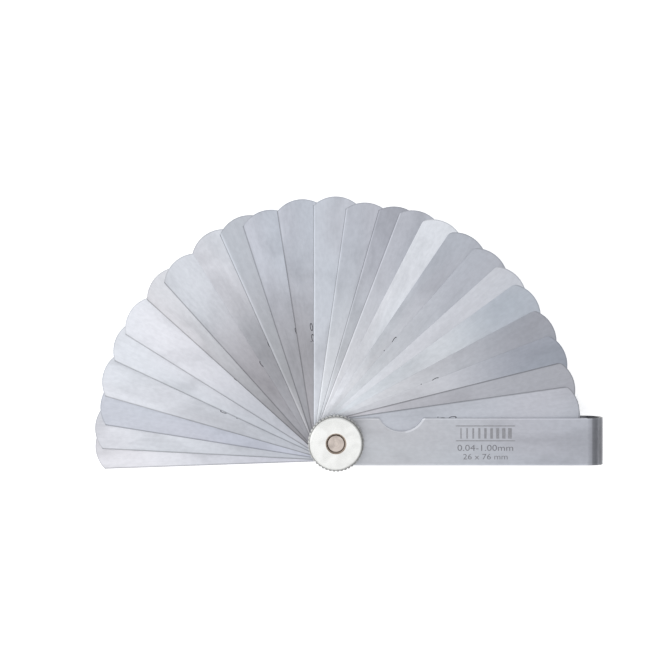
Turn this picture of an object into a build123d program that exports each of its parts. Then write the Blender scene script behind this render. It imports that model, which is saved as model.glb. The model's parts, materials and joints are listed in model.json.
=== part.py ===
from build123d import *

import os
from math import cos, radians, sin, sqrt

# Feeler gauge: 26 ground steel leaves that swing out of a bent-strip steel case on one pivot
# screw, which a knurled nut clamps.
#
# Millimetres.  The origin is on the pivot axis, in the outer face of the case's back plate.
# +X runs along the case to its bend, +Y is the side the leaves fan out on, and +Z points out
# of the front plate to the knurled nut.

# ---------------------------------------------------------------- driving dimensions

# Leaves: half an inch wide and three inches long, stacked thick to thin from the back plate.
# The pivot end is a half round, and the tip a shallow arc with rounded corners.
LEAF_WIDTH = 12.7
LEAF_LENGTH = 76.2
LEAF_TIP_RADIUS = 9.3
LEAF_CORNER_RADIUS = 2.2
LEAF_BORE = 6.1
LEAF_GAP = 0.03
LEAF_THICKNESSES = [
    1.00, 0.90, 0.80, 0.70, 0.65, 0.60, 0.55, 0.50, 0.45, 0.40, 0.38, 0.35, 0.33,
    0.30, 0.28, 0.25, 0.23, 0.20, 0.18, 0.15, 0.13, 0.10, 0.08, 0.06, 0.05, 0.04,
]

# The leaves that are shorter than the others, by thickness, and by how much.
SHORTER_LEAVES = {0.80: 1.0, 0.50: 0.8, 0.38: 0.8, 0.30: 1.2, 0.28: 0.6}

# The fan, as it was opened by hand: each leaf's direction in whole degrees from +X.  The last
# two leaves lie nearly together.
FAN_DIRECTIONS = [
    182, 177, 171, 164, 155, 148, 138, 132, 122, 114, 108, 99, 90,
    82, 74, 69, 63, 56, 49, 42, 36, 28, 21, 14, 7, 8,
]

# Case: one steel strip, bent into a U around the leaves' tips.
PLATE = 1.0
CASE_WIDTH = 13.35
CASE_END = 76.5
BEND_RADIUS = 5.0
BACK_BORE = 6.04
FRONT_BORE = 6.1

# Thumb notch in the long edge of both plates, on the fan's side.
NOTCH_RADIUS = 7.0
NOTCH_DEPTH = 3.75
NOTCH_X = 18.5
NOTCH_CORNER = 0.8

# Pivot screw: low slotted head behind the back plate, plain shank through the leaves, and a
# threaded end for the nut.
HEAD_DIAMETER = 10.0
HEAD_HEIGHT = 1.4
HEAD_CHAMFER = 0.3
SLOT_WIDTH = 1.2
SLOT_DEPTH = 0.7
SLOT_DIRECTION = 25
SHANK_DIAMETER = 6.0
SHANK_BELOW_FACE = 0.25
THREAD_DIAMETER = 5.0
THREAD_PITCH = 0.8
THREAD_DEPTH = 0.43
THREAD_FLANK = 0.32
THREAD_CREST = 0.12
SCREW_END_BELOW_NUT = 0.45
SCREW_END_CHAMFER = 0.25

# Washer and knurled nut.
WASHER_DIAMETER = 12.0
WASHER_THICKNESS = 0.5
WASHER_BORE = 5.1
NUT_DIAMETER = 15.7
NUT_HEIGHT = 6.5
NUT_FACE_DIAMETER = 14.0
NUT_TOP_BEVEL = 0.55
NUT_FOOT_BEVEL = 0.35
NUT_BORE = 5.06
NUT_MOUTH = 5.7
NUT_MOUTH_DEPTH = 1.0
KNURL_TEETH = 44
KNURL_DEPTH = 0.38

# ---------------------------------------------------------------- worked out from them

STACK_HEIGHT = sum(LEAF_THICKNESSES) + LEAF_GAP * (len(LEAF_THICKNESSES) + 1)
CASE_HEIGHT = STACK_HEIGHT + 2 * PLATE
LEAF_REACH = LEAF_LENGTH - LEAF_WIDTH / 2
TIP_SAGITTA = LEAF_TIP_RADIUS - sqrt(LEAF_TIP_RADIUS**2 - (LEAF_WIDTH / 2) ** 2)
NUT_FOOT_Z = CASE_HEIGHT + WASHER_THICKNESS
NUT_TOP_Z = NUT_FOOT_Z + NUT_HEIGHT
SHANK_END_Z = CASE_HEIGHT - SHANK_BELOW_FACE
SCREW_END_Z = NUT_TOP_Z - SCREW_END_BELOW_NUT

os.makedirs("parts", exist_ok=True)


def leaf_name(thickness):
    """Node name of a leaf, such as blade_0_04 for the 0.04 mm one."""
    return f"blade_{thickness:.2f}".replace(".", "_")


def save(piece, name):
    """Label a finished piece and write its STEP file."""
    piece.label = name
    export_step(piece, f"parts/{name}.step")


# ---------------------------------------------------------------- case

with BuildPart() as case:
    # Both rounded rectangles run on past the pivot end, which the plan outline then cuts.
    with BuildSketch(Plane.XZ):
        with Locations((0, CASE_HEIGHT / 2)):
            RectangleRounded(2 * CASE_END, CASE_HEIGHT, BEND_RADIUS)
            RectangleRounded(
                2 * (CASE_END - PLATE), STACK_HEIGHT, BEND_RADIUS - PLATE, mode=Mode.SUBTRACT
            )
    extrude(amount=CASE_WIDTH / 2, both=True)
    with BuildSketch():
        Circle(CASE_WIDTH / 2)
        Rectangle(CASE_END, CASE_WIDTH, align=(Align.MIN, Align.CENTER))
        with Locations((NOTCH_X, CASE_WIDTH / 2 - NOTCH_DEPTH + NOTCH_RADIUS)):
            Circle(NOTCH_RADIUS, mode=Mode.SUBTRACT)
        notch_top = (NOTCH_X, CASE_WIDTH / 2, 0)
        fillet(vertices().sort_by_distance(notch_top)[:2], NOTCH_CORNER)
    extrude(amount=CASE_HEIGHT, mode=Mode.INTERSECT)
    with BuildSketch():
        Circle(BACK_BORE / 2)
    extrude(amount=PLATE, mode=Mode.SUBTRACT)
    with BuildSketch(Plane.XY.offset(CASE_HEIGHT)):
        Circle(FRONT_BORE / 2)
    extrude(amount=-PLATE, mode=Mode.SUBTRACT)
save(case.part, "case")

# ---------------------------------------------------------------- pivot screw

with BuildPart() as pivot_screw:
    # Right half of the section, from the head's flat face up to the chamfered end.
    thread_radius = THREAD_DIAMETER / 2
    root_radius = thread_radius - THREAD_DEPTH
    first_turn_z = SHANK_END_Z + THREAD_PITCH / 2
    turns = round((SCREW_END_Z - first_turn_z) / THREAD_PITCH) - 1
    outline = [
        (0, -HEAD_HEIGHT),
        (HEAD_DIAMETER / 2 - HEAD_CHAMFER, -HEAD_HEIGHT),
        (HEAD_DIAMETER / 2, -HEAD_HEIGHT + HEAD_CHAMFER),
        (HEAD_DIAMETER / 2, 0),
        (SHANK_DIAMETER / 2, 0),
        (SHANK_DIAMETER / 2, SHANK_END_Z),
        (root_radius, SHANK_END_Z),
    ]
    for turn in range(turns):
        valley_z = first_turn_z + turn * THREAD_PITCH
        outline.append((root_radius, valley_z))
        outline.append((thread_radius, valley_z + THREAD_FLANK))
        outline.append((thread_radius, valley_z + THREAD_FLANK + THREAD_CREST))
        outline.append((root_radius, valley_z + 2 * THREAD_FLANK + THREAD_CREST))
    outline.append((root_radius, SCREW_END_Z - THREAD_PITCH))
    outline.append((thread_radius, SCREW_END_Z - THREAD_PITCH + THREAD_FLANK))
    outline.append((thread_radius, SCREW_END_Z - SCREW_END_CHAMFER))
    outline.append((thread_radius - SCREW_END_CHAMFER, SCREW_END_Z))
    outline.append((0, SCREW_END_Z))
    with BuildSketch(Plane.XZ):
        with BuildLine():
            Polyline(*outline, close=True)
        make_face()
    revolve(axis=Axis.Z)
    with BuildSketch(Plane.XY.offset(-HEAD_HEIGHT)):
        Rectangle(SLOT_WIDTH, HEAD_DIAMETER + 1, rotation=SLOT_DIRECTION)
    extrude(amount=SLOT_DEPTH, mode=Mode.SUBTRACT)
save(pivot_screw.part, "pivot_screw")

# ---------------------------------------------------------------- leaves

leaf_base = PLATE + LEAF_GAP
half = LEAF_WIDTH / 2
for thickness, direction in zip(LEAF_THICKNESSES, FAN_DIRECTIONS):
    along = (cos(radians(direction)), sin(radians(direction)), 0)
    reach = LEAF_REACH - SHORTER_LEAVES.get(thickness, 0)
    shoulder = reach - TIP_SAGITTA
    with BuildPart() as leaf:
        with BuildSketch(Plane(origin=(0, 0, leaf_base), x_dir=along, z_dir=(0, 0, 1))):
            with BuildLine():
                Line((0, -half), (shoulder, -half))
                ThreePointArc((shoulder, -half), (reach, 0), (shoulder, half))
                Line((shoulder, half), (0, half))
                ThreePointArc((0, half), (-half, 0), (0, -half))
            make_face()
            tip = (reach * along[0], reach * along[1], leaf_base)
            fillet(vertices().sort_by_distance(tip)[:2], LEAF_CORNER_RADIUS)
            Circle(LEAF_BORE / 2, mode=Mode.SUBTRACT)
        extrude(amount=thickness)
    save(leaf.part, leaf_name(thickness))
    leaf_base += thickness + LEAF_GAP

# ---------------------------------------------------------------- washer

with BuildPart() as washer:
    with BuildSketch(Plane.XY.offset(CASE_HEIGHT)):
        Circle(WASHER_DIAMETER / 2)
        Circle(WASHER_BORE / 2, mode=Mode.SUBTRACT)
    extrude(amount=WASHER_THICKNESS)
save(washer.part, "washer")

# ---------------------------------------------------------------- knurled nut

with BuildPart() as knurled_nut:
    bevel_width = (NUT_DIAMETER - NUT_FACE_DIAMETER) / 2
    with BuildSketch(Plane.XZ):
        with BuildLine():
            Polyline(
                (NUT_BORE / 2, NUT_FOOT_Z),
                (NUT_DIAMETER / 2 - NUT_FOOT_BEVEL, NUT_FOOT_Z),
                (NUT_DIAMETER / 2, NUT_FOOT_Z + NUT_FOOT_BEVEL),
                (NUT_DIAMETER / 2, NUT_TOP_Z - NUT_TOP_BEVEL),
                (NUT_DIAMETER / 2 - bevel_width, NUT_TOP_Z),
                (NUT_MOUTH / 2, NUT_TOP_Z),
                (NUT_MOUTH / 2, NUT_TOP_Z - NUT_MOUTH_DEPTH),
                (NUT_BORE / 2, NUT_TOP_Z - NUT_MOUTH_DEPTH),
                close=True,
            )
        make_face()
    revolve(axis=Axis.Z)
    # Straight knurl: V grooves all round the rim, each a square standing on its corner.
    with BuildSketch(Plane.XY.offset(NUT_FOOT_Z)):
        with PolarLocations(NUT_DIAMETER / 2, KNURL_TEETH):
            Rectangle(KNURL_DEPTH * sqrt(2), KNURL_DEPTH * sqrt(2), rotation=45)
    extrude(amount=NUT_HEIGHT, mode=Mode.SUBTRACT)
save(knurled_nut.part, "knurled_nut")
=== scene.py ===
import json
from math import cos, pi, radians, sin

import bmesh
import bpy
from mathutils import Matrix, Vector


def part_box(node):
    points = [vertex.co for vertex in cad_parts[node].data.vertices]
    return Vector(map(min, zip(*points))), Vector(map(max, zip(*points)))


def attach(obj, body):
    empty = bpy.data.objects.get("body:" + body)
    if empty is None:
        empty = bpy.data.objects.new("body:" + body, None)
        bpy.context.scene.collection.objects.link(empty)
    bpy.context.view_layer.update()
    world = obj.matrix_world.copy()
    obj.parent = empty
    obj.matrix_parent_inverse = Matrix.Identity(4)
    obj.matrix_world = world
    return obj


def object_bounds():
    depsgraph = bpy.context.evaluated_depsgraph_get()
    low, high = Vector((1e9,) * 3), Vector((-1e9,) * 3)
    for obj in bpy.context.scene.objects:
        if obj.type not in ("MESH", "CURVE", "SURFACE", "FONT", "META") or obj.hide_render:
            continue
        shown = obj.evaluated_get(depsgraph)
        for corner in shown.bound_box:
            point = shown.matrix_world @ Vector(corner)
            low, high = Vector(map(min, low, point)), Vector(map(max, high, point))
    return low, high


# Looks of the feeler gauge: ground leaves, satin case, frosted nut, etched marks.
# Metres, in the CAD frame: origin on the pivot axis, +X along the case, +Z to the nut.

MM = 0.001

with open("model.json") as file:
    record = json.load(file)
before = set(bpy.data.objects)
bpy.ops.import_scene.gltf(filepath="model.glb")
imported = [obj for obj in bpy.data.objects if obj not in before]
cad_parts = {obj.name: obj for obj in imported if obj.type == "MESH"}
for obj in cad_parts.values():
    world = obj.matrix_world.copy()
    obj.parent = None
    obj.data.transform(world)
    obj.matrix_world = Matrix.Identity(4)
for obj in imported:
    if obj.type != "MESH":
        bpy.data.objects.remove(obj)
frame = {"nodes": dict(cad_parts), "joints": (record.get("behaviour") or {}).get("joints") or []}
cad_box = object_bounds()
nodes = frame["nodes"]
scene = bpy.context.scene

# ------------------------------------------------------------------ sizes read from the frame

case_low, case_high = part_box("case")
nut_low, nut_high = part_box("knurled_nut")
floor_z = cad_box[0].z
case_half_width = (case_high.y - case_low.y) / 2
nut_radius = (nut_high.x - nut_low.x) / 2

# The range of a leaf's hinge starts where it lies in the case, so it gives the leaf's angle.
leaf_angle = {
    joint["child"]: radians(-joint["range_deg"][0])
    for joint in frame["joints"]
    if joint["child"].startswith("blade_")
}
leaves = sorted(leaf_angle, reverse=True)


def extent(node_name, angle):
    """How far a node's mesh reaches from the pivot axis in a direction."""
    way = Vector((cos(angle), sin(angle), 0))
    return max(vertex.co.dot(way) for vertex in nodes[node_name].data.vertices)


# ------------------------------------------------------------------ small node helpers


class Tree:
    """The node tree of a material or world, with short calls for the nodes used here."""

    def __init__(self, owner, shader="Principled BSDF"):
        owner.use_nodes = True
        self.nodes = owner.node_tree.nodes
        self.links = owner.node_tree.links
        self.shader = self.nodes[shader]

    def add(self, kind, inputs=None, **settings):
        node = self.nodes.new("ShaderNode" + kind)
        for key, value in settings.items():
            setattr(node, key, value)
        for key, value in (inputs or {}).items():
            self.set(node.inputs[key], value)
        return node

    def set(self, socket, value):
        if isinstance(value, bpy.types.NodeSocket):
            self.links.new(value, socket)
        else:
            socket.default_value = value

    def put(self, **inputs):
        """Set inputs of the shader, named with _ for a blank."""
        for key, value in inputs.items():
            self.set(self.shader.inputs[key.replace("_", " ")], value)

    def maths(self, operation, a, b=0.0):
        return self.add("Math", {0: a, 1: b}, operation=operation).outputs[0]

    def product(self, first, *others):
        for other in others:
            first = self.maths("MULTIPLY", first, other)
        return first

    def ramp(self, value, start, end, low=0.0, high=1.0):
        """Smooth change from low to high as value goes from start to end."""
        inputs = {0: value, 1: start, 2: end, 3: low, 4: high}
        return self.add("MapRange", inputs, interpolation_type="SMOOTHSTEP").outputs[0]

    def tone_where(self, mask, tone):
        """The tone where the mask is 1, and 1 where it is 0."""
        return self.ramp(mask, 0, 1, 1, tone)

    def place(self):
        return self.add("TexCoord").outputs["Object"]

    def noise(self, place, scale, detail=3.0, distortion=0.0):
        """Noise from 0 to 1, with scale in waves per metre along each axis."""
        stretched = self.add("Mapping", {"Vector": place, "Scale": scale}).outputs[0]
        inputs = {"Vector": stretched, "Scale": 1.0, "Detail": detail, "Distortion": distortion}
        return self.add("TexNoise", inputs).outputs[0]

    def blend(self, factor, a, b, mode="MIX"):
        node = self.add("Mix", {"Factor": factor}, data_type="RGBA", blend_type=mode)
        self.set(node.inputs[6], a)
        self.set(node.inputs[7], b)
        return node.outputs[2]

    def grey(self, value):
        return self.add("CombineColor", {0: value, 1: value, 2: value}).outputs[0]

    def bump(self, height, distance, strength):
        inputs = {"Height": height, "Distance": distance, "Strength": strength}
        return self.add("Bump", inputs).outputs[0]

    def radius(self, place):
        """Distance from the place's own Z axis."""
        flat = self.add("VectorMath", {0: place, 1: (1, 1, 0)}, operation="MULTIPLY").outputs[0]
        return self.add("VectorMath", {0: flat}, operation="LENGTH").outputs["Value"]


def new_material(name):
    material = bpy.data.materials.new(name)
    return material, Tree(material)


def use(node_name, material):
    data = nodes[node_name].data
    data.materials.clear()
    data.materials.append(material)


def colour(rgb):
    return (*rgb, 1)


# ------------------------------------------------------------------ ground steel

# Finish of a leaf: tint at the tip, tint at the pivot end, roughness, and how far along the
# leaf the change to the tip's tint begins.  The tints are painted reflections: each leaf's
# reflected light and shade, lighter or darker from leaf to leaf and from the pivot to the tip.
FINISHES_AND_PAINTED_LIGHT = {
    "pale": ((0.66, 0.66, 0.69), (0.53, 0.53, 0.58), 0.35, 0.12),
    "soft": ((0.63, 0.64, 0.675), (0.45, 0.46, 0.495), 0.35, 0.12),
    "slate": ((0.50, 0.52, 0.57), (0.48, 0.49, 0.55), 0.36, 0.30),
    "bright": ((0.66, 0.665, 0.70), (0.44, 0.45, 0.485), 0.34, 0.15),
    "rose": ((0.61, 0.61, 0.635), (0.29, 0.285, 0.30), 0.38, 0.10),
    "cloudy": ((0.59, 0.60, 0.635), (0.335, 0.33, 0.35), 0.37, 0.38),
    "rough": ((0.46, 0.475, 0.51), (0.36, 0.36, 0.375), 0.39, 0.30),
    "misty": ((0.51, 0.53, 0.58), (0.365, 0.36, 0.38), 0.38, 0.35),
    "cool": ((0.505, 0.525, 0.57), (0.56, 0.57, 0.605), 0.34, 0.12),
    "grey": ((0.485, 0.50, 0.545), (0.61, 0.62, 0.645), 0.39, 0.20),
    "dull": ((0.435, 0.45, 0.495), (0.58, 0.59, 0.615), 0.40, 0.20),
    "white": ((0.72, 0.73, 0.765), (0.65, 0.665, 0.695), 0.34, 0.12),
    "light": ((0.60, 0.615, 0.655), (0.64, 0.65, 0.68), 0.34, 0.12),
    "sky": ((0.485, 0.515, 0.565), (0.62, 0.64, 0.67), 0.35, 0.55),
    "violet": ((0.41, 0.42, 0.46), (0.61, 0.615, 0.64), 0.37, 0.25),
    "blue": ((0.375, 0.395, 0.445), (0.60, 0.61, 0.64), 0.35, 0.35),
    "dim": ((0.44, 0.445, 0.48), (0.51, 0.50, 0.53), 0.37, 0.12),
    "satin": ((0.55, 0.56, 0.605), (0.49, 0.50, 0.54), 0.36, 0.12),
}

# From the thickest leaf to the thinnest.
LEAF_FINISHES_AND_PAINTED_LIGHT = (
    "pale soft slate soft soft bright rose cloudy cloudy rough misty misty cool "
    "grey dull grey white grey grey light sky violet blue dim satin satin"
).split()

# Long edges painted with a highlight (shiny, bright), with painted shade (dull, heavy) or nearly
# plain (soft).
LEAF_PAINTED_EDGES = (
    "dull dull dull dull dull dull dull dull soft bright dull dull shiny "
    "shiny shiny shiny soft soft soft soft soft soft soft heavy heavy heavy"
).split()

# Tone of an edge against the rest of the leaf, how wide it is, and the tones of its corner and
# of the leaf's tip.  All are painted light: a highlight above 1, shade below it.
PAINTED_EDGE_TONES = {
    "dull": (0.66, 0.45 * MM, 0.85, 0.84),
    "heavy": (0.62, 0.50 * MM, 0.80, 0.66),
    "soft": (1.02, 0.38 * MM, 1.0, 0.76),
    "shiny": (1.26, 0.66 * MM, 0.45, 0.84),
    "bright": (1.28, 0.90 * MM, 0.45, 0.84),
}
CORNER_BAND = 0.20 * MM
TIP_RADIUS = 9.3 * MM
TIP_BAND = 0.45 * MM

# Painted light where the leaves are clamped: they are brighter there, fading over this distance
# from the pivot.
HUB_PAINTED_LIGHT = 1.13
HUB_FADE = (8 * MM, 26 * MM)

# The part of a leaf's reach at which the tip's tint is complete.
TINT_END = 0.88
# How far apart in the noise two pieces' patches lie.
PATCH_STEP = 310 * MM
# Faint colours of oil and heat, cool and warm.
COOL_DRIFT = (0.978, 0.992, 1.0)
WARM_DRIFT = (0.998, 0.99, 0.996)


def painted_tip_shade(tree, place, reach, tone):
    """Painted shade line round the arc of a leaf's tip."""
    centre = (reach - TIP_RADIUS, 0, 0)
    offset = tree.add("VectorMath", {0: place, 1: centre}, operation="SUBTRACT").outputs[0]
    rim = tree.ramp(tree.radius(offset), TIP_RADIUS - TIP_BAND, TIP_RADIUS - 0.1 * MM)
    ahead = tree.add("SeparateXYZ", {0: offset}).outputs[0]
    forward = tree.ramp(ahead, 0.5 * TIP_RADIUS, 0.6 * TIP_RADIUS)
    return tree.tone_where(tree.product(rim, forward), tone)


def ground_steel(name, angle, finish_and_painted_light, painted_edges, half_width, reach, patch, scale=None):
    """Steel ground along the direction angle, with oil smudges, painted light and shade along the
    long edges, and tints that paint its reflected light.

    patch is the piece of noise to use, so that no two pieces have the same smudges.  scale gives
    the painted shade and highlights of the case, in place of a leaf's painted tip shade and hub
    light.
    """
    tip_tint, pivot_tint, roughness, change = finish_and_painted_light
    edge_painted_tone, band, corner_painted_shade, tip_shade_tone = painted_edges
    material, tree = new_material(name)
    turned = {"Vector": tree.place(), "Angle": -angle}
    place = tree.add("VectorRotate", turned, rotation_type="Z_AXIS").outputs[0]
    axes = tree.add("SeparateXYZ", {0: place})
    shift = (patch * PATCH_STEP, 0, patch * PATCH_STEP)
    cut = tree.add("VectorMath", {0: place, 1: shift}, operation="ADD").outputs[0]
    streaks = tree.noise(cut, (16, 1500, 16), detail=4)
    grain = tree.noise(cut, (70, 7000, 70), detail=2)
    speckle = tree.noise(cut, (700, 1100, 700))
    smudges = tree.noise(cut, (45, 85, 45), detail=4, distortion=0.8)
    cloud = tree.noise(cut, (24, 60, 24), detail=1)

    # Painted reflections: the leaf's tint changes from the pivot to the tip.
    along = tree.ramp(axes.outputs[0], change * reach, TINT_END * reach)
    base = tree.blend(along, colour(pivot_tint), colour(tip_tint))
    streaked = tree.ramp(streaks, 0.3, 0.7, 0.985, 1.015)
    grained = tree.ramp(grain, 0.25, 0.75, 0.98, 1.02)
    speckled = tree.ramp(speckle, 0.3, 0.7, 0.965, 1.03)
    smudged = tree.ramp(smudges, 0.42, 0.72, 1.02, 0.93)
    # Painted light along the long edges, a highlight or shade as the edge's tones give, with a
    # painted shade line at the very corner.
    across = tree.maths("ABSOLUTE", axes.outputs[1])
    painted_edge = tree.ramp(across, half_width - band, half_width - band / 3, 1.0, edge_painted_tone)
    corner_start = half_width - CORNER_BAND
    corner = tree.ramp(across, corner_start, half_width - CORNER_BAND / 3, 1.0, corner_painted_shade)
    shade = tree.product(streaked, grained, smudged, speckled, painted_edge, corner)
    if scale:
        shade = tree.product(shade, scale(tree, place))
    else:
        hub_light = tree.ramp(axes.outputs[0], *HUB_FADE, HUB_PAINTED_LIGHT, 1.0)
        shade = tree.product(shade, painted_tip_shade(tree, place, reach, tip_shade_tone), hub_light)
    shaded = tree.blend(1.0, base, tree.grey(shade), "MULTIPLY")
    drift = tree.blend(tree.ramp(cloud, 0.35, 0.65), colour(COOL_DRIFT), colour(WARM_DRIFT))
    final = tree.blend(1.0, shaded, drift, "MULTIPLY")

    gloss = tree.maths("ADD", tree.ramp(smudges, 0.4, 0.75, 0, 0.10), roughness - 0.03)
    gloss = tree.maths("ADD", gloss, tree.ramp(streaks, 0.3, 0.7, 0, 0.06))
    tree.put(Base_Color=final, Metallic=1.0, Roughness=gloss, Anisotropic=0.45)
    tree.put(Tangent=tree.add("Tangent", direction_type="RADIAL", axis="Z").outputs[0])
    tree.put(Normal=tree.bump(grain, 0.004 * MM, 0.5))
    return material


for count, (leaf, finish_and_painted_light, painted_edges) in enumerate(zip(leaves, LEAF_FINISHES_AND_PAINTED_LIGHT, LEAF_PAINTED_EDGES)):
    angle = leaf_angle[leaf]
    half_width = extent(leaf, angle + pi / 2)
    reach = extent(leaf, angle)
    name = "steel_" + leaf
    use(leaf, ground_steel(name, angle, FINISHES_AND_PAINTED_LIGHT[finish_and_painted_light], PAINTED_EDGE_TONES[painted_edges], half_width, reach, count))

# The case, in the same terms, and its shape as the CAD has it.
CASE_FINISH = ((0.51, 0.52, 0.565), (0.525, 0.535, 0.56), 0.38, 0.12)
# Painted highlight along the case's edges, with a painted shade line at the very corner.
CASE_PAINTED_EDGES = (1.20, 0.55 * MM, 0.80, 1.0)
PLATE = 1.0 * MM
BEND_RADIUS = 5.0 * MM
NOTCH_X = 18.5 * MM
NOTCH_RADIUS = 7.0 * MM
NOTCH_DEPTH = 3.75 * MM

# Painted shade round the bend: how far from the case's end it begins and gets darker, and its
# tones at the beginning, at the end and on the strip's edges.
BEND_SHADE_BEGINS = (3.95 * MM, 3.65 * MM)
BEND_SHADE_DARKENS = (2.2 * MM, 1.2 * MM)
BEND_SHADE_TONE = 0.70
BEND_END_SHADE_TONE = 0.42
BEND_EDGE_SHADE_TONE = 0.18
# Painted shade on the strip's inner faces.
INSIDE_SHADE_TONE = 0.30

# Painted highlight on the notch's rounded edge, faint nearly all along and bright on the far
# side: its tone, where it fades out beyond the edge, and where it fades in, measured from the
# notch's middle towards the bend.
NOTCH_HIGHLIGHTS = (
    (1.12, (0.20 * MM, 0.30 * MM), (-5.4 * MM, -4.0 * MM)),
    (1.27, (0.45 * MM, 0.70 * MM), (0.5 * MM, 2.0 * MM)),
)


def bend_painted_shade(tree, axes):
    """Painted shade round the bend, darkest at the case's end and on the strip's edges."""
    x, y, _ = axes.outputs
    begins, begun = (case_high.x - distance for distance in BEND_SHADE_BEGINS)
    darkens, dark = (case_high.x - distance for distance in BEND_SHADE_DARKENS)
    plate = tree.ramp(x, begins, begun, 1.0, BEND_SHADE_TONE)
    end = tree.ramp(x, darkens, dark, 1.0, BEND_END_SHADE_TONE)

    across = tree.maths("ABSOLUTE", y)
    on_edge = tree.ramp(across, case_half_width - 0.12 * MM, case_half_width - 0.04 * MM)
    bend = case_high.x - BEND_RADIUS
    at_bend = tree.ramp(x, bend - 0.4 * MM, bend)
    painted_edges = tree.tone_where(tree.product(on_edge, at_bend), BEND_EDGE_SHADE_TONE)
    return tree.product(plate, painted_edges, end)


def inside_painted_shade(tree, axes):
    """Painted shade inside the strip, by how far out a point is in its wall, flat or bent."""
    x, _, z = axes.outputs
    middle = (case_high.z + case_low.z) / 2
    from_middle = tree.maths("ABSOLUTE", tree.maths("SUBTRACT", z, middle))
    up = tree.maths("MAXIMUM", tree.maths("SUBTRACT", from_middle, middle - BEND_RADIUS), 0.0)
    on = tree.maths("MAXIMUM", tree.maths("SUBTRACT", x, case_high.x - BEND_RADIUS), 0.0)
    wall = tree.radius(tree.add("CombineXYZ", {0: on, 1: up}).outputs[0])
    inner = BEND_RADIUS - PLATE
    return tree.ramp(wall, inner + 0.02 * MM, inner + 0.08 * MM, INSIDE_SHADE_TONE, 1.0)


def notch_painted_highlight(tree, place):
    centre = (NOTCH_X, case_half_width - NOTCH_DEPTH + NOTCH_RADIUS, 0)
    offset = tree.add("VectorMath", {0: place, 1: centre}, operation="SUBTRACT").outputs[0]
    beyond = tree.maths("SUBTRACT", tree.radius(offset), NOTCH_RADIUS)
    sideways = tree.add("SeparateXYZ", {0: offset}).outputs[0]
    tones = []
    for tone, fades_out, fades_in in NOTCH_HIGHLIGHTS:
        painted_edge = tree.product(tree.ramp(beyond, *fades_out, 1.0, 0.0), tree.ramp(sideways, *fades_in))
        tones.append(tree.tone_where(painted_edge, tone))
    return tree.maths("MAXIMUM", *tones)


# Painted shade round the bend and inside the strip, and a painted highlight on the notch's edge.
def case_painted_light_and_shade(tree, place):
    axes = tree.add("SeparateXYZ", {0: place})
    return tree.product(bend_painted_shade(tree, axes), inside_painted_shade(tree, axes), notch_painted_highlight(tree, place))


case_steel = ground_steel(
    "case_steel", 0.0, CASE_FINISH, CASE_PAINTED_EDGES, case_half_width, case_high.x, len(leaves),
    case_painted_light_and_shade,
)
use("case", case_steel)

# ------------------------------------------------------------------ screw, washer and nut

# Painted shade on turned steel beyond a radius: the screw's rim in the nut's recess, the washer's
# rim under the nut.
RECESS_PAINTED_SHADE = 0.55


def turned_steel(name, tint, roughness, shade_radius):
    """Lathe-turned steel with fine rings, and painted shade beyond the given radius."""
    material, tree = new_material(name)
    place = tree.place()
    radius = tree.radius(place)
    height = tree.add("SeparateXYZ", {0: place}).outputs[2]
    section = tree.add("CombineXYZ", {0: radius, 1: height}).outputs[0]
    rings = tree.noise(section, (5000, 5000, 1))
    stains = tree.noise(place, (400, 400, 400), detail=4, distortion=0.5)
    ringed = tree.ramp(rings, 0.3, 0.7, 0.88, 1.08)
    stained = tree.ramp(stains, 0.35, 0.7, 1.04, 0.86)
    # Painted shade outward of the radius.
    recess_shade = tree.ramp(radius, shade_radius - 0.25 * MM, shade_radius, 1.0, RECESS_PAINTED_SHADE)
    tone = tree.product(ringed, stained, recess_shade)
    tree.put(Base_Color=tree.blend(1.0, colour(tint), tree.grey(tone), "MULTIPLY"))
    tree.put(Metallic=1.0, Roughness=tree.ramp(stains, 0.3, 0.7, roughness, roughness + 0.14))
    tree.put(Normal=tree.bump(rings, 0.006 * MM, 0.6))
    return material


# Bevel round the nut's face: its width, and its tone on the left and, as painted shade, on the
# right.
NUT_RIM = 0.85 * MM
RIM_TONE = 0.95
RIM_PAINTED_SHADE = 0.80
# Lands and grooves of the knurl, with painted shade, deepest in the grooves.
KNURL_DEPTH = 0.38 * MM
LAND_PAINTED_SHADE = 0.80
GROOVE_PAINTED_SHADE = 0.42
# Recess round the screw's end, with painted shade.
NUT_MOUTH = 2.85 * MM
MOUTH_PAINTED_SHADE = 0.60
RUST = (1.0, 0.86, 0.76)


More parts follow.
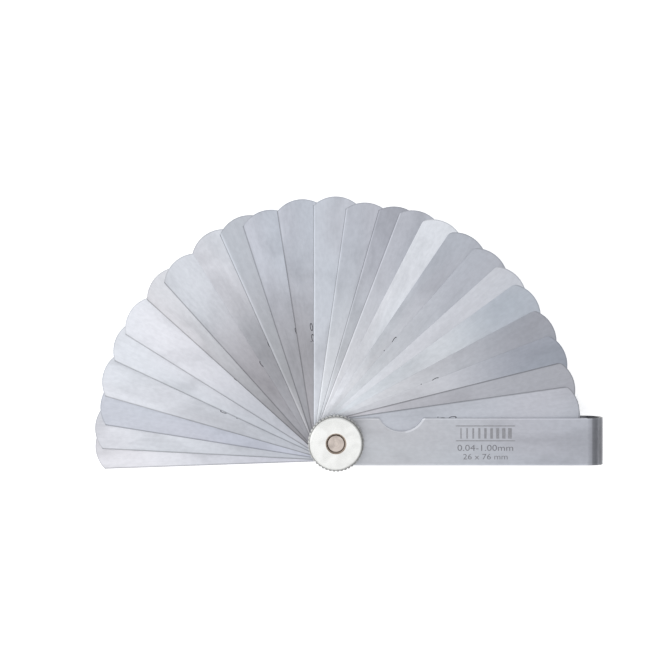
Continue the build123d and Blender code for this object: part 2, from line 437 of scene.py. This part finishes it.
def frosted_plating(name, tint, roughness):
    """Bead-blasted nickel plating, with painted shade on the knurl, on the bevel's right side and
    in the recess round the screw's end, which is also tinted rust-brown.
    """
    material, tree = new_material(name)
    place = tree.place()
    radius = tree.radius(place)
    frost = tree.noise(place, (3800, 3800, 3800))
    bloom = tree.noise(place, (260, 260, 260), distortion=0.4)
    frosted = tree.ramp(frost, 0.3, 0.7, 0.95, 1.03)
    bloomed = tree.ramp(bloom, 0.35, 0.7, 1.02, 0.95)

    # Painted shade on the knurl.
    groove = nut_radius - KNURL_DEPTH
    knurl = tree.ramp(radius, groove, nut_radius - 0.06 * MM, GROOVE_PAINTED_SHADE, LAND_PAINTED_SHADE)
    on_knurl = tree.ramp(radius, groove - 0.20 * MM, groove - 0.08 * MM)
    knurl = tree.maths("ADD", 1.0, tree.product(on_knurl, tree.maths("SUBTRACT", knurl, 1.0)))

    face = nut_radius - NUT_RIM
    across = tree.add("SeparateXYZ", {0: place}).outputs[0]
    # Painted shade: the bevel darker towards the right.
    rim_shade_tone = tree.ramp(across, -0.1 * nut_radius, 0.8 * nut_radius, RIM_TONE, RIM_PAINTED_SHADE)
    rim = tree.ramp(radius, face - 0.05 * MM, face + 0.15 * MM, 1.0, rim_shade_tone)

    # Painted shade in the recess round the screw's end.
    mouth_shade = tree.ramp(radius, NUT_MOUTH + 0.01 * MM, NUT_MOUTH + 0.06 * MM, MOUTH_PAINTED_SHADE, 1.0)
    tone = tree.product(frosted, bloomed, knurl, rim, mouth_shade)
    clean = tree.ramp(radius, NUT_MOUTH, NUT_MOUTH + 0.15 * MM)
    rusty = tree.blend(clean, colour(RUST), colour((1, 1, 1)))
    tinted = tree.blend(1.0, colour(tint), rusty, "MULTIPLY")
    tree.put(Base_Color=tree.blend(1.0, tinted, tree.grey(tone), "MULTIPLY"))
    tree.put(Metallic=0.85, Roughness=tree.ramp(bloom, 0.3, 0.7, roughness, roughness + 0.1))
    tree.put(Normal=tree.bump(frost, 0.012 * MM, 0.6))
    return material


SCREW_TINT = (0.60, 0.525, 0.475)
WASHER_TINT = (0.60, 0.60, 0.60)
NUT_TINT = (0.965, 0.965, 0.94)
# Radii beyond which the screw and washer get painted shade.
SCREW_SHADE_RADIUS = 2.35 * MM
WASHER_SHADE_RADIUS = 6.0 * MM

use("pivot_screw", turned_steel("screw_steel", SCREW_TINT, 0.34, SCREW_SHADE_RADIUS))
use("washer", turned_steel("washer_steel", WASHER_TINT, 0.32, WASHER_SHADE_RADIUS))
use("knurled_nut", frosted_plating("nut_plating", NUT_TINT, 0.50))

# ------------------------------------------------------------------ broken edges

# Widths of the broken edges.  A thin leaf's is a part of its thickness.
LEAF_BREAK = 0.12 * MM
THIN_LEAF_BREAK = 0.3
CASE_BREAK = 0.20 * MM
WASHER_BREAK = 0.06 * MM


def break_edges(node_name, width):
    """Take the sharpness off a CAD node's edges.  The weld closes the seams of its mesh."""
    node = nodes[node_name]
    weld = node.modifiers.new("weld", "WELD")
    weld.merge_threshold = 0.001 * MM
    bevel = node.modifiers.new("broken_edges", "BEVEL")
    bevel.width = width
    bevel.segments = 2
    bevel.limit_method = "ANGLE"
    bevel.angle_limit = radians(50)


for leaf in leaves:
    low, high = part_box(leaf)
    break_edges(leaf, min(LEAF_BREAK, THIN_LEAF_BREAK * (high.z - low.z)))
break_edges("case", CASE_BREAK)
break_edges("washer", WASHER_BREAK)

# ------------------------------------------------------------------ etched marks

MARK_THICKNESS = 0.006 * MM
MARK_SUNK = 0.002 * MM
SAME_POINT = 0.0005 * MM
# Size of the font for a line height of 1.
FONT_SIZE = 1.38


def etch(name, tint, unevenness):
    """Dull, slightly uneven dark steel, as electro-etching leaves it."""
    material, tree = new_material(name)
    patches = tree.noise(tree.place(), (2600, 2600, 2600))
    uneven = tree.grey(tree.ramp(patches, 0.3, 0.7, 1 - unevenness, 1 + unevenness))
    tree.put(Base_Color=tree.blend(1.0, colour(tint), uneven, "MULTIPLY"))
    tree.put(Metallic=0.4, Roughness=tree.ramp(patches, 0.3, 0.7, 0.55, 0.75))
    tree.put(Normal=tree.bump(patches, 0.004 * MM, 0.5))
    return material


leaf_ink = etch("leaf_etch", (0.06, 0.06, 0.07), 0.25)
case_ink = etch("case_etch", (0.36, 0.36, 0.385), 0.15)
line_ink = etch("line_etch", (0.25, 0.25, 0.27), 0.15)


def closed(mesh):
    """Merge a text mesh's separate front, back and sides into one closed solid."""
    shape = bmesh.new()
    shape.from_mesh(mesh)
    bmesh.ops.remove_doubles(shape, verts=shape.verts, dist=SAME_POINT)
    bmesh.ops.dissolve_degenerate(shape, dist=SAME_POINT, edges=shape.edges)
    shape.to_mesh(mesh)
    shape.free()


def lettering(name, body_text, height, width, spacing=1.0):
    """Mesh of centred numbers, of the given line height and width, as thick as an etched mark."""
    curve = bpy.data.curves.new(name, "FONT")
    curve.body = body_text
    curve.size = height * FONT_SIZE
    curve.align_x = "CENTER"
    curve.align_y = "CENTER"
    curve.space_line = spacing
    curve.resolution_u = 3
    curve.extrude = MARK_THICKNESS / 2
    source = bpy.data.objects.new(name + "_source", curve)
    mesh = bpy.data.meshes.new_from_object(source)
    bpy.data.objects.remove(source)
    bpy.data.curves.remove(curve)
    closed(mesh)
    span = max(v.co.x for v in mesh.vertices) - min(v.co.x for v in mesh.vertices)
    mesh.transform(Matrix.Diagonal((width / span, 1, 1, 1)))
    return mesh


def bar(shape, centre, size):
    """Add a box of a mark's thickness to a bmesh."""
    matrix = Matrix.Translation((*centre, 0)) @ Matrix.Diagonal((*size, MARK_THICKNESS, 1))
    bmesh.ops.create_cube(shape, size=1.0, matrix=matrix)


def mark(name, mesh, ink, matrix, body):
    """Lay a mark's mesh on the surface that matrix gives, riding on a body."""
    mesh.transform(matrix)
    mesh.materials.clear()
    mesh.materials.append(ink)
    piece = bpy.data.objects.new(name, mesh)
    scene.collection.objects.link(piece)
    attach(piece, body)


LEAF_MARK_REACH = 31.5 * MM
LEAF_MARK_HEIGHT = 2.4 * MM
LEAF_MARK_WIDTH = 4.1 * MM
MM_PER_INCH = 25.4

# Marks that were etched off the usual place: how far, in millimetres, towards the leaf's left
# edge and towards its tip.
MARK_SHIFTS = {
    "blade_0_60": (-0.90, 0.0),
    "blade_0_50": (-0.10, -2.9),
    "blade_0_45": (0.35, 0.0),
    "blade_0_38": (-0.20, 0.0),
    "blade_0_35": (0.60, 0.0),
    "blade_0_20": (1.05, 0.0),
    "blade_0_10": (1.05, 0.0),
    "blade_0_04": (0.90, 0.6),
}

for leaf in leaves:
    thickness = float(leaf.removeprefix("blade_").replace("_", "."))
    inches = f"{thickness / MM_PER_INCH:.4f}".lstrip("0")
    words = f"{thickness:.2f}\n{inches}"
    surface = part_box(leaf)[1].z - MARK_SUNK + MARK_THICKNESS / 2
    angle = leaf_angle[leaf]
    left, ahead = MARK_SHIFTS.get(leaf, (0.0, 0.0))
    spot = Vector((-left * MM, LEAF_MARK_REACH + ahead * MM, surface))
    # The lines lie across the leaf, and read with its tip to the top.
    turn = Matrix.Rotation(angle - pi / 2, 4, "Z")
    mesh = lettering("mark_" + leaf, words, LEAF_MARK_HEIGHT, LEAF_MARK_WIDTH, 0.95)
    mark("mark_" + leaf, mesh, leaf_ink, turn @ Matrix.Translation(spot), leaf)

# Label on the front plate: bars of growing width between two rules, over two lines of numbers.
LABEL_CENTRE = 42.4 * MM
LABEL_WIDTH = 15.6 * MM
BAR_ROW = 2.4 * MM
BAR_HEIGHT = 3.0 * MM
RULE_LENGTH = LABEL_WIDTH + 1.2 * MM
RULE_HEIGHT = 0.30 * MM
RULE_OFFSET = 2.1 * MM
BARS = 9
THINNEST_BAR = 0.35 * MM
BAR_GROWTH = 0.09 * MM
# Name, words, line height, width, and place across the case.
LABEL_LINES = (
    ("label_range", "0.04-1.00mm", 1.8 * MM, 15.8 * MM, -1.8 * MM),
    ("label_count", "26 x 76 mm", 1.6 * MM, 12.6 * MM, -4.3 * MM),
)
label_z = case_high.z - MARK_SUNK + MARK_THICKNESS / 2


def label_bars():
    shape = bmesh.new()
    pitch = LABEL_WIDTH / BARS
    for count in range(BARS):
        width = THINNEST_BAR + BAR_GROWTH * count
        x = (count + 0.5) * pitch - LABEL_WIDTH / 2
        bar(shape, (x, 0), (width, BAR_HEIGHT))
    for side in (-1, 1):
        bar(shape, (0, side * RULE_OFFSET), (RULE_LENGTH, RULE_HEIGHT))
    mesh = bpy.data.meshes.new("label_bars")
    shape.to_mesh(mesh)
    shape.free()
    return mesh


def on_plate(y):
    return Matrix.Translation((LABEL_CENTRE, y, label_z))


mark("label_bars", label_bars(), case_ink, on_plate(BAR_ROW), "case")
for name, words, height, width, y in LABEL_LINES:
    mesh = lettering(name, words, height, width)
    mark(name, mesh, line_ink, on_plate(y), "case")

# ------------------------------------------------------------------ floor, light, camera

FLOOR_SIZE = 8.0
bpy.ops.mesh.primitive_plane_add(size=FLOOR_SIZE, location=(0, 0, floor_z))
floor = bpy.context.object
floor.name = "floor"
paper_material, paper = new_material("floor_paper")
fibres = paper.noise(paper.place(), (900, 900, 900))
paper.put(Base_Color=paper.blend(fibres, (0.93, 0.93, 0.93, 1), (0.96, 0.96, 0.96, 1)))
paper.put(Roughness=0.9, Emission_Color=(1, 1, 1, 1), Emission_Strength=0.55)
floor.data.materials.append(paper_material)

# The studio's walls are dimmer than its ceiling, most of all on the right.
CEILING = 0.92
WALLS = 0.44
RIGHT_WALL = 0.55

world = bpy.data.worlds.new("studio")
scene.world = world
studio = Tree(world, "Background")
way = studio.add("SeparateXYZ", {0: studio.add("TexCoord").outputs["Generated"]})
height = studio.ramp(way.outputs[2], 0.1, 0.85, WALLS, CEILING)
side = studio.ramp(way.outputs[0], 0.1, 0.8, 1.0, RIGHT_WALL)
studio.put(Color=(0.975, 0.983, 1.0, 1), Strength=studio.maths("MULTIPLY", height, side))


# The lamps point at the middle of the fan.
AIM = Vector((0, 30, 10)) * MM


def softbox(name, place, size, radiance):
    """Rectangular lamp with an even glow, given as radiance rather than power."""
    lamp = bpy.data.lights.new(name, "AREA")
    lamp.shape = "RECTANGLE"
    lamp.size, lamp.size_y = size
    lamp.energy = radiance * pi * size[0] * size[1]
    obj = bpy.data.objects.new(name, lamp)
    obj.location = place
    obj.rotation_euler = (AIM - Vector(place)).to_track_quat("-Z", "Y").to_euler()
    scene.collection.objects.link(obj)


softbox("overhead", place=(-0.38, 0.05, 0.95), size=(0.85, 0.9), radiance=0.48)
softbox("left", place=(-0.75, 0.15, 0.42), size=(0.4, 0.4), radiance=1.7)

# Camera: straight above a point near the fan's middle.
CAMERA_FOOT = Vector((-3.06, 33.1, 0)) * MM
CAMERA_HEIGHT = 400 * MM
LENS = 78.2

camera_data = bpy.data.cameras.new("camera")
camera_data.lens = LENS
camera_data.sensor_width = 36
camera = bpy.data.objects.new("camera", camera_data)
camera.location = CAMERA_FOOT + Vector((0, 0, case_high.z + CAMERA_HEIGHT))
scene.collection.objects.link(camera)
scene.camera = camera
scene.view_settings.view_transform = "Standard"
